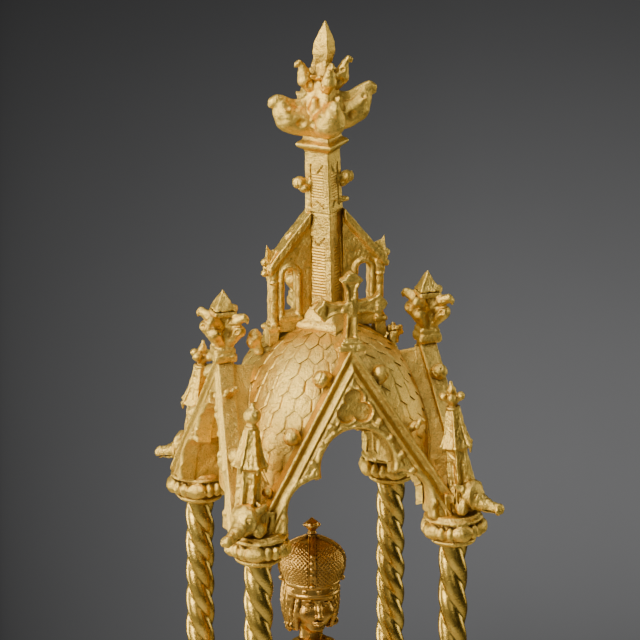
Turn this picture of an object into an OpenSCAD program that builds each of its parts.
// Tower monstrance: lobed foot, knopped stem, glazed host chamber with a rear
// door and a lunula, and above it an open canopy on four columns with a
// crowned statuette, four gables, a cupola and a square spire.
// Millimetres, +Z up, origin at the centre of the underside of the foot.
// The front gable, with the cross, faces -Y; left is -X and right is +X.

/* [Foot] */
// Radius of the ring on which the eight lobes are centred
lobe_ring_r = 62; // [58:1:64]
// Radius of each lobe
lobe_r = 26; // [25:0.5:28]
// Height of the pierced rim
rim_h = 9; // [8:0.5:10]
// Top of the foot shell
foot_h = 46; // [44:1:48]

/* [Stem] */
// Radius of the knop across its equator
knop_r = 26; // [24:0.5:28]
// Circumscribed radius of the six-sided lower stem
stem_r = 10.5; // [9.5:0.5:12]
// Tie rod radius
rod_r = 3; // [2.5:0.1:3]

/* [Host chamber] */
// Outer radius of the chamber's frames
frame_r = 31.4; // [31:0.1:31.6]
// Wall thickness of the frames
frame_t = 2.8; // [2.4:0.1:3]
// Thickness of the glass
glass_t = 1.6; // [1.2:0.1:1.8]
// Centre height of the host
host_z = 214; // [213:0.5:215]
// Radius of the host
host_r = 18; // [16:0.5:18]

/* [Canopy] */
// Half the distance between column axes
col_c = 35; // [35:0.1:35.2]
// Radius of the column shafts
col_r = 4.8; // [4.4:0.1:5]
// Distance of the front and back gables' outer faces from the axis, at column-top height
front_foot_d = 42.5; // [42.4:0.1:43]
// Distance of the side gables' outer faces from the axis, at column-top height
side_foot_d = 46.5; // [46.4:0.1:47]
// Thickness of a gable plate
gable_t = 6; // [5:0.2:6]
// Height of the front gable's apex above the column tops
front_apex_h = 70; // [69:0.5:70]
// Height of the side gables' apexes above the column tops
side_apex_h = 62.5; // [61:0.5:64]

/* [Spire] */
// Corner radius of the spire shaft at its foot
shaft_r1 = 7.7; // [7.2:0.1:7.7]
// Corner radius of the spire shaft at its top
shaft_r2 = 6.3; // [5.8:0.1:6.5]
// Half span of the two lantern walls
wall_span = 20.2; // [19.5:0.1:20.5]

/* [Hidden] */
$fn = 48;

gold = [0.86, 0.70, 0.38];
pale_gold = [0.93, 0.80, 0.50];
dark_gold = [0.60, 0.43, 0.18];
steel = [0.62, 0.62, 0.64];
clear = [0.80, 0.90, 0.92, 0.5];

// Levels
base_t = 2;
rim_z = base_t + rim_h;
floor_z = 172;
floor_top = floor_z + 6;
roof_z = 248;
platform_z = roof_z + 8;
platform_top = platform_z + 6;
canopy_z = 405;                // column tops, the datum of the canopy

// Fits and thin fasteners
clearance = 0.1;
close_fit = 0.05;
thin_rod_r = 1.5;              // column rods, spire rod and screws
clear_hole_r = thin_rod_r + clearance;
close_hole_r = thin_rod_r + close_fit;
nut_r = 3.2;
nut_h = 2.6;

// ---------------------------------------------------------------- helpers
module raise(z) { translate([0, 0, z]) children(); }

module post(r, h, z = 0) { raise(z) cylinder(r = r, h = h); }

// Solid of revolution; the outline's points are [radius, z]
module turned(outline) { rotate_extrude() polygon(outline); }

// One copy on each diagonal, r out from the axis, with +X facing outwards
module corners(r, z = 0) {
  for (a = [45:90:315]) rotate(a) translate([r, 0, z]) children();
}

// One copy on each column axis
module at_columns(z) {
  for (x = [-1, 1], y = [-1, 1]) translate([x * col_c, y * col_c, z]) children();
}

// Box from z1 to z2 whose half width foot changes to top_x and top_y.
// reach is half the length of the two crossed prisms.
module tapered_box(foot, top_x, top_y, z1, z2, reach) {
  module prism(top) {
    raise(-reach) linear_extrude(2 * reach)
      polygon([[-foot, z1], [foot, z1], [top, z2], [-top, z2]]);
  }
  intersection() {
    rotate([90, 0, 0]) prism(top_x);
    rotate([90, 0, 90]) prism(top_y);
  }
}

// Square frustum with corner radii r1 to r2 and its corners along the axes
module frustum(r1, r2, h) {
  top = r2 / sqrt(2);
  rotate([0, 0, 45]) tapered_box(r1 / sqrt(2), top, top, 0, h, r1);
}

// ------------------------------------------------------------------- foot
foot_screw_ring_r = 81;
foot_screw_head_r = 3;

// Plan of the foot, eight lobes, grown by g
module lobes(g) {
  circle(r = lobe_ring_r + 4 + g);
  for (i = [0:7]) rotate(i * 45) translate([lobe_ring_r, 0]) circle(r = lobe_r + g);
}

module foot_base_plate() { color(dark_gold) difference() {
  linear_extrude(base_t) lobes(1);
  corners(foot_screw_ring_r, -1) {
    cylinder(r = clear_hole_r, h = 6);
    cylinder(r = foot_screw_head_r + clearance, h = 2);
  }
} }

module base_plate_screws() { color(steel) corners(foot_screw_ring_r) {
  post(foot_screw_head_r, 0.8, 0.2);
  post(thin_rod_r, 7, 1);
} }

module foot_rim() { color(gold) raise(base_t) difference() {
  union() {
    linear_extrude(rim_h) difference() {
      lobes(0);
      lobes(-3);
    }
    corners(foot_screw_ring_r) cylinder(r = 4.5, h = rim_h - 1);
  }
  corners(foot_screw_ring_r, -1) cylinder(r = clear_hole_r, h = 8);
} }

// [radius, z] of the central mound and of the hollow beneath it
mound_outline = [
  [0, rim_z], [64, rim_z], [62, rim_z + 3], [50, 17], [38, 22], [28, 29], [20, 38],
  [16, foot_h], [0, foot_h]
];
hollow_outline = [
  [0, 0], [60, 0], [60, rim_z + 1], [48, 14], [36, 18.5], [25, 26], [17, 34], [13, 40], [0, 40]
];

module foot_shell() { color(gold) difference() {
  union() {
    turned(mound_outline, $fn = 96);
    for (i = [0:7]) rotate(i * 45) translate([lobe_ring_r, 0, 0]) turned([
      [0, rim_z], [lobe_r - 1, rim_z], [lobe_r - 2.5, rim_z + 2],
      [lobe_r - 9, rim_z + 5], [0, rim_z + 7.5]
    ]);
  }
  turned(hollow_outline, $fn = 96);
  cylinder(r = rod_r + clearance, h = 60);
} }

// ------------------------------------------------------------------- stem
lower_stem_z = 50;
lower_stem_h = 38;
collar_h = 6;
knop_half_h = 15;
lower_collar_z = lower_stem_z + lower_stem_h;
knop_z = lower_collar_z + collar_h + knop_half_h;    // centre of the knop
upper_collar_z = knop_z + knop_half_h;
upper_stem_z = upper_collar_z + collar_h;
calyx_z = 152;
boss_r = 5.5;

// Child with the tie rod's hole through it
module bored() { difference() {
  children();
  post(rod_r + clearance, 260, -1);
} }

module stem_foot_collar() { color(gold) bored() turned([
  [0, foot_h], [17, foot_h], [18, 47], [17, 48], [13.5, 48.6], [13.5, 49.2],
  [14.5, lower_stem_z], [0, lower_stem_z]
]); }

module lower_stem() { color(pale_gold) bored()
  post(stem_r, lower_stem_h, lower_stem_z, $fn = 6);
}

module knop_collars() { color(gold) for (z = [lower_collar_z, upper_collar_z])
  bored() raise(z) turned([
    [0, 0], [12, 0], [12.6, 1], [14.6, 2], [14.6, 4], [12.6, 5], [12, collar_h], [0, collar_h]
  ]);
}

// One copy at each of six places on the knop's equator, +Z outwards
module at_bosses() {
  for (i = [0:5]) rotate([0, 90, i * 60 + 30]) translate([-knop_z, 0, knop_r - 4]) children();
}

// The rounded side is an ellipse set 10 out from the axis, cut off at 80 degrees
module knop() { color(pale_gold) difference() {
  raise(knop_z) turned(concat(
    [[0, -knop_half_h]],
    [for (a = [-80:10:80])
      [10 + (knop_r - 10) * cos(a), knop_half_h * sin(a) / sin(80)]],
    [[0, knop_half_h]]
  ), $fn = 96);
  at_bosses() cylinder(r = boss_r, h = 10);
  cylinder(r = rod_r + clearance, h = 200);
} }

module knop_bosses() { color(gold) at_bosses()
  turned([[0, 0], [boss_r, 0], [boss_r, 4.6], [4.6, 5.4], [3, 6.6], [0, 7.2]]);
}

module upper_stem() { color(pale_gold) bored()
  post(stem_r - 1, calyx_z - upper_stem_z, upper_stem_z, $fn = 6);
}

module stem_tie_rod() { color(steel) post(rod_r, 145, 31); }

// Six-sided nut with a washer above it, inside the foot
module tie_rod_nut() { color(steel) difference() {
  union() {
    post(7, 1, 39);
    post(5.8, 5, 34, $fn = 6);
  }
  post(rod_r + close_fit, 14, 30);
} }

module calyx() { color(gold) bored() turned([
  [0, calyx_z], [10, calyx_z], [12, 153], [12, 155], [10.5, 156], [13, 160], [18, 164],
  [26, 168], [33, 170], [34, 171], [34, floor_z], [0, floor_z]
], $fn = 96); }

// ----------------------------------------------------------- host chamber
frame_span = 179;              // angle covered by each frame
stile_span = 11;
rail_h = 4;
front_start = 180.5;           // angles at which the frames begin
door_start = 0.5;
door_gap = 1;                  // above and below the door
hinge_x = -35;
hinge_y = 4.5;
hinge_z = [194, 232];          // joints between bracket and door knuckles
hinge_pin_r = 0.9;
knuckle_r = 2;
knuckle_h = 5.9;
knob_y = 4;                    // foot of the knob's shank
knob_z = 212;

// Disc with a rectangular wing on either side, half_x by half_y
module chamber_plan(r, half_x, half_y) {
  circle(r = r, $fn = 96);
  translate([-half_x, -half_y]) square([2 * half_x, 2 * half_y]);
}

// Ring sector from angle start over span
module sector(inner_r, outer_r, start, span, h) {
  linear_extrude(h) intersection() {
    difference() {
      circle(r = outer_r, $fn = 96);
      circle(r = inner_r, $fn = 96);
    }
    polygon(concat([[0, 0]],
      [for (k = [0:12]) let (a = start + span * k / 12) [60 * cos(a), 60 * sin(a)]]));
  }
}

// Curved frame: two rails and two stiles
module frame(start, bottom, top) {
  inner_r = frame_r - frame_t;
  for (z = [bottom, top - rail_h])
    raise(z) sector(inner_r, frame_r, start, frame_span, rail_h);
  for (a = [start, start + frame_span - stile_span])
    raise(bottom + rail_h) sector(inner_r, frame_r, a, stile_span, top - bottom - 2 * rail_h);
}

// Curved glass that fills a frame, in the middle of its wall
module pane(start, bottom, top) {
  middle_r = frame_r - frame_t / 2;
  inset = stile_span + 0.1;
  raise(bottom + rail_h) sector(middle_r - glass_t / 2, middle_r + glass_t / 2,
    start + inset, frame_span - 2 * inset, top - bottom - 2 * rail_h);
}

// One copy at each hinge joint, raised by z
module at_hinges(z) {
  for (joint_z = hinge_z) translate([hinge_x, hinge_y, joint_z + z]) children();
}

module chamber_floor() { color(gold) difference() {
  union() {
    raise(floor_z) linear_extrude(4) chamber_plan(37, 51, 10);
    raise(floor_z + 4) linear_extrude(2) chamber_plan(36, 50, 9);
  }
  post(rod_r + close_fit, 16, 160);
} }

// Side pier with a stepped outer buttress, on +X; outline points are [x, z]
module pier() { translate([0, 1.5, 0]) rotate([90, 0, 0]) linear_extrude(9) polygon([
  [33.5, floor_top], [49, floor_top], [49, 190], [47, 193], [47, 214], [44.5, 218],
  [44.5, roof_z], [33.5, roof_z]
]); }

module buttress_left() { color(pale_gold) mirror([1, 0, 0]) pier(); }

module buttress_right() { color(pale_gold) pier(); }

module buttress_pinnacles() { color(gold) for (side = [-1, 1])
  translate([side * 46.6, -3, 218.4]) {
    cylinder(r = 1.4, h = 14);
    raise(14) sphere(r = 2);
  }
}

module front_frame() { color(gold) frame(front_start, floor_top, roof_z); }

module front_glass() { color(clear) pane(front_start, floor_top, roof_z); }

module rear_door_frame() { color(gold) difference() {
  union() {
    frame(door_start, floor_top + door_gap, roof_z - door_gap);
    at_hinges(0.1) {
      cylinder(r = knuckle_r, h = knuckle_h);
      translate([0, -1, 0]) cube([4.6, 2, knuckle_h]);
    }
    // Block behind the knob
    translate([31.1, knob_y - 2.1, knob_z - 2.5]) cube([2.1, 2.1, 5]);
  }
  at_hinges(-1) cylinder(r = hinge_pin_r + close_fit, h = 9);
} }

module rear_door_glass() { color(clear)
  pane(door_start, floor_top + door_gap, roof_z - door_gap);
}

module door_knob() { color(gold) translate([32.2, knob_y, knob_z]) rotate([-90, 0, 0]) {
  cylinder(r = 0.8, h = 6);
  raise(7.2) sphere(r = 2);
} }

module hinge_brackets() { color(gold) at_hinges(-6) difference() {
  union() {
    cylinder(r = knuckle_r, h = knuckle_h);
    translate([-1.5, -3, 0]) cube([3, 3, knuckle_h]);
  }
  post(hinge_pin_r, 10, -2);
} }

module hinge_pins() { color(steel) at_hinges(-6) {
  cylinder(r = hinge_pin_r, h = 12.6);
  post(1.6, 0.8, 12.1);
} }

// ----------------------------------------------------------------- lunula
clip_axis_y = -4.6;
clip_axis_z = 191;
clip_pin_r = 0.5;
half_gap = 2.6;                // half the clear space between the crescents
crescent_t = 1.4;

// Lower part of a ring round the host, extruded towards -Y
module crescent() { rotate([90, 0, 0]) linear_extrude(crescent_t) intersection() {
  difference() {
    circle(r = host_r + 2.5, $fn = 72);
    translate([0, 1.2]) circle(r = host_r - 2, $fn = 72);
  }
  translate([-30, -30]) square([60, 24]);
} }

// Cylinder on the clip's hinge axis, centred on x
module clip_barrel(r, h, x = 0) {
  translate([x - h / 2, clip_axis_y, clip_axis_z]) rotate([0, 90, 0]) cylinder(r = r, h = h);
}

module lunula_stand() { color(gold) difference() {
  raise(floor_top) union() {
    cylinder(r = 9, h = 1.5);
    cylinder(r = 7, h = 3);
    translate([-5, -3, 0]) cube([10, 6, 10]);
  }
  translate([-2.6, -1.1, 179.5]) cube([5.2, 2.2, 20]);
} }

module lunula_back() { color(pale_gold) difference() {
  union() {
    // Tongue in the stand's slot, ledge on it, and stalk of the crescent
    translate([-2.5, -1, 180]) cube([5, 2, 9]);
    translate([-4.1, -3, 188]) cube([8.2, half_gap + crescent_t + 3, 2]);
    translate([-2.5, half_gap, 189]) cube([5, crescent_t, 6.2]);
    // Hinge ears
    for (side = [-1, 1]) {
      clip_barrel(1.2, 2, side * 3.1);
      translate([side * 3.1 - 1, clip_axis_y, 188.4]) cube([2, 2, 1.6]);
    }
    translate([0, half_gap + crescent_t, host_z]) crescent();
  }
  clip_barrel(clip_pin_r, 12);
} }

module lunula_clip() { color(pale_gold) difference() {
  union() {
    clip_barrel(1.2, 4);
    translate([-2, -half_gap - crescent_t, clip_axis_z]) cube([4, crescent_t, 4.4]);
    translate([-2, clip_axis_y, clip_axis_z]) cube([4, 0.8, 1.2]);
    translate([0, -half_gap, host_z]) crescent();
  }
  clip_barrel(clip_pin_r + close_fit, 12);
} }

module lunula_clip_pin() { color(steel) clip_barrel(clip_pin_r, 9); }

// --------------------------------------------------------- upper platform
roof_screw_ring_r = 34;
roof_screw_head_r = 2.6;
figure_pin_r = 2;

module chamber_roof() { color(gold) difference() {
  union() {
    raise(roof_z) linear_extrude(3) chamber_plan(37, 47, 9);
    raise(roof_z + 3) linear_extrude(5) chamber_plan(40, 48, 10);
  }
  corners(roof_screw_ring_r) {
    post(roof_screw_head_r + clearance, 3, roof_z - 1);
    cylinder(r = clear_hole_r, h = 300);
  }
} }

module roof_screws() { color(steel) corners(roof_screw_ring_r, roof_z) {
  post(roof_screw_head_r, 1.8, 0.2);
  post(thin_rod_r, 9.8, 2);
} }

module platform_brackets() { color(gold) corners(0) translate([0, 3, 0])
  rotate([90, 0, 0]) linear_extrude(6) polygon([
    [40.05, roof_z + 3], [41, roof_z + 3], [45, roof_z + 6.5],
    [45.5, platform_z], [40.05, platform_z]
  ]);
}

// Square with its corners cut off
module clipped_square(side) { intersection() {
  square(side, center = true);
  rotate(45) square(side + 30, center = true);
} }

module upper_platform() { color(gold) difference() {
  union() {
    raise(platform_z) linear_extrude(3) clipped_square(90);
    raise(platform_z + 3) linear_extrude(3) clipped_square(94);
  }
  at_columns(200) cylinder(r = clear_hole_r, h = 100);
  corners(roof_screw_ring_r, 200) cylinder(r = close_hole_r, h = 60);
  post(figure_pin_r + close_fit, 10, platform_z + 2);
} }

// Nuts under the platform, and one on the spire rod inside the cupola
module rod_nuts() { color(steel) difference() {
  union() {
    at_columns(platform_z - nut_h) cylinder(r = nut_r, h = nut_h, $fn = 6);
    post(nut_r, nut_h, canopy_z + 64.4, $fn = 6);
  }
  at_columns(240) cylinder(r = close_hole_r, h = 30);
  post(close_hole_r, 12, canopy_z + 60);
} }

// ---------------------------------------------------------------- columns
column_base_h = 8;
capital_h = 10;

module column_rods() { color(steel) at_columns(platform_z - 4)
  cylinder(r = thin_rod_r, h = canopy_z + 16 - platform_z + 4);
}

module column_bases() { color(gold) at_columns(platform_top) difference() {
  union() {
    translate([-8, -8, 0]) cube([16, 16, 2.6]);
    turned([
      [0, 2.6], [7.6, 2.6], [8, 3.4], [7.6, 4.4], [6, 5], [6, 5.8], [6.6, 6.4], [6.2, 7.2],
      [5.4, column_base_h], [0, column_base_h]
    ]);
  }
  post(clear_hole_r, 12, -1);
} }

// The shafts are modelled as plain cylinders
module twisted_columns() { color(pale_gold)
  at_columns(platform_top + column_base_h) difference() {
    cylinder(r = col_r, h = canopy_z - platform_top - column_base_h);
    post(clear_hole_r, 200, -1);
  }
}

module column_capitals() { color(gold) at_columns(canopy_z) difference() {
  turned([
    [0, 0], [6.6, 0], [8, 0.8], [6.6, 1.8], [7, 2.4], [10.4, 3], [11.4, 4.2], [11.4, 8.2],
    [10.4, 9.4], [9, capital_h], [0, capital_h]
  ]);
  post(clear_hole_r, 20, -1);
} }

// ------------------------------------------------------------- statuette
head_x = -4;
head_y = 3;
head_z = platform_top + 101.9;
head_h = 17.5;
socle_h = 6;

module figure_socle() { color(gold) difference() {
  raise(platform_top) rotate(22.5) union() {
    cylinder(r = 22, h = 2.5, $fn = 8);
    post(19.5, socle_h - 2.5, 2.5, $fn = 8);
  }
  cylinder(r = figure_pin_r + close_fit, h = 300);
} }

module figure_pin() { color(steel) post(figure_pin_r, 22, platform_z + 2); }

// Turned body with two discs stepping across to the offset head
module figure_body() { color(dark_gold) difference() {
  union() {
    raise(platform_top + socle_h) turned([
      [0, 0], [17, 0], [16, 10], [14.5, 30], [13.5, 52], [12, 62], [13, 70], [14.6, 80],
      [13.6, 88], [8, 93], [0, 93]
    ]);
    translate([head_x * 0.8, head_y * 0.8, head_z - 3]) cylinder(r = 4.6, h = 3);
    translate([head_x * 0.5, head_y * 0.5, platform_top + 96]) cylinder(r = 6, h = 3);
  }
  cylinder(r = figure_pin_r + close_fit, h = platform_top + 19);
} }

module figure_head() { color(dark_gold) translate([head_x, head_y, head_z]) turned([
  [0, 0], [4.4, 0], [7.4, 3], [9, 8], [9.2, 13], [8.8, head_h], [0, head_h]
]); }

module figure_crown() { color(gold) translate([head_x, head_y, head_z + head_h]) turned([
  [0, 0], [9.6, 0], [9.8, 3.4], [10.5, 8], [10.2, 12], [8, 15.5], [4, 17.6], [1.2, 18.2],
  [2, 19.6], [2, 21], [0.9, 22.2], [0.6, 23.6], [0, 23.6]
]); }

// ----------------------------------------------------------------- canopy
corner_block_h = 9;
front_apex_d = 31;             // distance of a gable's outer face at its apex
side_apex_d = 39.4;
gable_half_w = 30.4;
rake_foot_w = 37;              // half width and height where the rake line starts
rake_foot_h = 12;
apex_half_w = 3;
crocket_r = 3.2;
dome_h = 70;

// [apex height, outer face distance at the foot, and at the apex]
front_shape = [front_apex_h, front_foot_d, front_apex_d];
side_shape = [side_apex_h, side_foot_d, side_apex_d];

// Square blocks on the capitals, clipped at the outer corner
module canopy_corners() { color(gold) for (a = [0:90:270]) rotate(a) difference() {
  raise(canopy_z + capital_h) linear_extrude(corner_block_h) intersection() {
    translate([30.5, 30.5]) square(10);
    rotate(45) translate([0, -30]) square([54, 60]);
  }
  translate([col_c, col_c, canopy_z]) cylinder(r = close_hole_r, h = 16.2);
} }

module gargoyles() { color(gold) corners(54.3, canopy_z + 15) rotate([0, 94, 0]) turned([
  [0, 0], [3.6, 0], [3.2, 5], [3.9, 10], [3.4, 14], [2.2, 18], [1.6, 21.5], [0, 22]
]); }

module corner_pinnacles() { color(gold)
  corners(50.3, canopy_z + capital_h + corner_block_h) rotate(45) {
    translate([-3.8, -3.8, 0]) cube([7.6, 7.6, 15.7]);
    raise(15.7) rotate(45) frustum(6.4, 2.6, 14);
    raise(29.7) turned([
      [0, 0], [1.8, 0], [1.5, 1.2], [2.6, 2.2], [3.1, 4], [2.6, 5.8], [1.2, 6.8], [0, 7]
    ]);
  }
}

// Cusped arch opening of a gable, grown by g
module arch_opening(g = 0) {
  translate([0, 30.6]) circle(r = 13.1 + g);
  for (side = [-1, 1]) translate([side * 14.5, 16.5]) circle(r = 11.2 + g);
  translate([-25.7 - g, 0]) square([51.4 + 2 * g, 16.5]);
  translate([-10 - g, 0]) square([20 + 2 * g, 24]);
}

// Half width lost per unit of height along a rake
function rake_slope(apex_h) = (rake_foot_w - apex_half_w) / (apex_h - rake_foot_h);

// Places children on the leaning -Y gable: X across, Y up its face, Z outwards
module on_gable(shape) {
  lean = atan((shape[1] - shape[2]) / shape[0]);
  translate([0, -(shape[1] - gable_t), canopy_z]) rotate([90 - lean, 0, 0]) children();
}

// Gable plate on the -Y side, with a sunk trefoil below the apex
module gable(shape) {
  apex_h = shape[0];
  eaves_h = rake_foot_h + (rake_foot_w - gable_half_w) / rake_slope(apex_h);
  on_gable(shape) difference() {
    linear_extrude(gable_t) difference() {
      polygon([
        [-gable_half_w, 10.3], [gable_half_w, 10.3], [gable_half_w, eaves_h],
        [apex_half_w, apex_h], [-apex_half_w, apex_h], [-gable_half_w, eaves_h]
      ]);
      arch_opening();
    }
    raise(gable_t - 1.4) linear_extrude(3) translate([0, apex_h - 19])
      for (a = [90, 210, 330]) rotate(a) translate([3, 0]) circle(r = 2.9);
  }
}

module gable_front() { color(pale_gold) gable(front_shape); }

module gable_back() { color(pale_gold) rotate(180) gable(front_shape); }

module gable_right() { color(pale_gold) rotate(90) gable(side_shape); }

module gable_left() { color(pale_gold) rotate(-90) gable(side_shape); }

// Two ball crockets on each rake, standing off along the rake's normal
module rake_balls(shape) {
  slope = rake_slope(shape[0]);
  normal = atan(slope);
  stand_off = crocket_r + 0.05;
  on_gable(shape) for (side = [-1, 1], fraction = [0.13, 0.46]) {
    drop = (shape[0] - rake_foot_h) * fraction;
    translate([
      side * (apex_half_w + slope * drop + stand_off * cos(normal)),
      shape[0] - drop + stand_off * sin(normal),
      gable_t / 2 + 0.35
    ]) sphere(r = crocket_r);
  }
}

module gable_crockets() { color(gold) {
  for (a = [0, 180]) rotate(a) rake_balls(front_shape);
  for (a = [90, -90]) rotate(a) rake_balls(side_shape);
} }

// Cross with lozenge ends on a foot block
module gable_cross() { color(gold)
  translate([0, -26.6, canopy_z + front_apex_h + 0.1]) rotate([90, 0, 0]) {
    linear_extrude(4) {
      translate([-2.4, 3]) square([4.8, 25.6]);
      translate([-12.8, 13.4]) square([25.6, 4.8]);
      for (tip = [[-11, 15.8], [11, 15.8], [0, 26.6]])
        translate(tip) rotate(45) square(5, center = true);
    }
    translate([-5, 0, -0.5]) cube([10, 3, 5]);
  }
}

module small_finial() { turned([
  [0, 0], [3.6, 0], [4.6, 1], [4.6, 3], [3.2, 4], [3, 7], [5, 9], [8.2, 14], [7.6, 16.6],
  [3, 18], [3.2, 19], [3.9, 19.4], [0.3, 25], [0, 25]
]); }

// Finials on the left, right and back gables
module side_finials() { color(gold) {
  for (side = [-1, 1]) translate([side * 36.6, 0, canopy_z + side_apex_h + 0.4]) small_finial();
  translate([0, 28.4, canopy_z + front_apex_h + 0.1]) small_finial();
} }

// [radius, height above the column tops] of the cupola, outside and inside
dome_outline = [
  [0, 10.1], [38.6, 10.1], [38.4, 20], [37.2, 30], [35.4, 39], [32.6, 47], [28, 57],
  [25, 62], [20.5, 66.5], [14.5, dome_h], [0, dome_h]
];
dome_hollow_outline = [
  [0, 5], [36.4, 5], [36.2, 20], [35, 29.5], [33, 38], [30, 46], [25.6, 55.4],
  [22, 60.6], [17.5, 64.5], [12.5, 67], [0, 67]
];

// Turned outline trimmed to a box that leans in, most at the front and back
module cupola(outline, foot, top_y, z1) { intersection() {
  turned(outline, $fn = 96);
  tapered_box(foot, foot - 1.5, top_y, z1, dome_h, 60);
} }

module dome_shell() { color(pale_gold) raise(canopy_z) difference() {
  cupola(dome_outline, 34.3, 24.6, 5);
  cupola(dome_hollow_outline, 32, 22.4, 4);
  post(clear_hole_r, 40, 50);
  translate([0, 60, 0]) rotate([90, 0, 0]) linear_extrude(120) arch_opening(0.4);
} }

// ------------------------------------------------------------------ spire
plinth_z = canopy_z + dome_h;
shaft_z = plinth_z + 7.5;
shaft_h = 57;
spire_collar_z = shaft_z + shaft_h;
spire_collar_h = 4.4;
wall_t = 4.1;

module spire_plinth() { color(pale_gold) raise(plinth_z) difference() {
  union() {
    frustum(11.6, 11.6, 2.2);
    raise(2.2) frustum(10.8, 10.8, 2.6);
    raise(4.8) frustum(10.4, 7.9, 2.7);
  }
  post(clear_hole_r, 20, -1);
} }

// Walls left and right of the shaft, each with a round-headed opening
module lantern_walls() { color(gold) for (a = [0, 180]) rotate(a)
  translate([0, wall_t / 2, canopy_z]) rotate([90, 0, 0]) linear_extrude(wall_t) difference() {
    polygon([
      [11.7, 70.05], [wall_span, 70.05], [wall_span, 95], [7.3, 110], [7.75, 78], [11.7, 77]
    ]);
    translate([11.2, 77.2]) square([4, 13.1]);
    translate([13.2, 90.3]) circle(r = 2);
  }
}

module spire_shaft() { color(pale_gold) raise(shaft_z) difference() {
  frustum(shaft_r1, shaft_r2, shaft_h);
  post(clear_hole_r, 80, -1);
} }

module spire_rod() { color(steel) post(thin_rod_r, 86, canopy_z + 62); }

module spire_crockets() { color(gold) for (a = [0, 180])
  rotate(a) translate([shaft_r2 + 2.75, 0, canopy_z + 123]) sphere(r = 2.2);
}

module spire_collar() { color(gold) raise(spire_collar_z) difference() {
  union() {
    frustum(6.8, 8.6, 1.5);
    raise(1.5) frustum(9, 9, 1.2);
    raise(2.7) frustum(8.4, 6.4, 1.7);
  }
  post(clear_hole_r, 20, -1);
} }

module top_finial() { color(gold) raise(spire_collar_z + spire_collar_h) difference() {
  turned([
    [0, 0], [4.2, 0], [3.6, 2], [6, 4], [9, 8], [13, 13], [16.8, 15], [17.2, 17], [13, 17],
    [8, 15.5], [5, 18], [7, 20], [8.6, 23], [9.2, 27.6], [7, 26.4], [3.6, 25], [3.4, 27],
    [4, 29], [3.6, 33], [0.3, 40.6], [0, 40.6]
  ]);
  post(clear_hole_r, 11.2, -1);
} }

foot_base_plate();
base_plate_screws();
foot_rim();
foot_shell();
stem_foot_collar();
lower_stem();
knop_collars();
knop();
knop_bosses();
upper_stem();
stem_tie_rod();
tie_rod_nut();
calyx();
chamber_floor();
buttress_left();
buttress_right();
buttress_pinnacles();
front_frame();
front_glass();
rear_door_frame();
rear_door_glass();
door_knob();
hinge_brackets();
hinge_pins();
lunula_stand();
lunula_back();
lunula_clip();
lunula_clip_pin();
chamber_roof();
roof_screws();
platform_brackets();
upper_platform();
rod_nuts();
column_rods();
column_bases();
twisted_columns();
column_capitals();
figure_socle();
figure_pin();
figure_body();
figure_head();
figure_crown();
canopy_corners();
gargoyles();
corner_pinnacles();
gable_front();
gable_back();
gable_left();
gable_right();
gable_crockets();
gable_cross();
side_finials();
dome_shell();
spire_plinth();
lantern_walls();
spire_shaft();
spire_rod();
spire_crockets();
spire_collar();
top_finial();
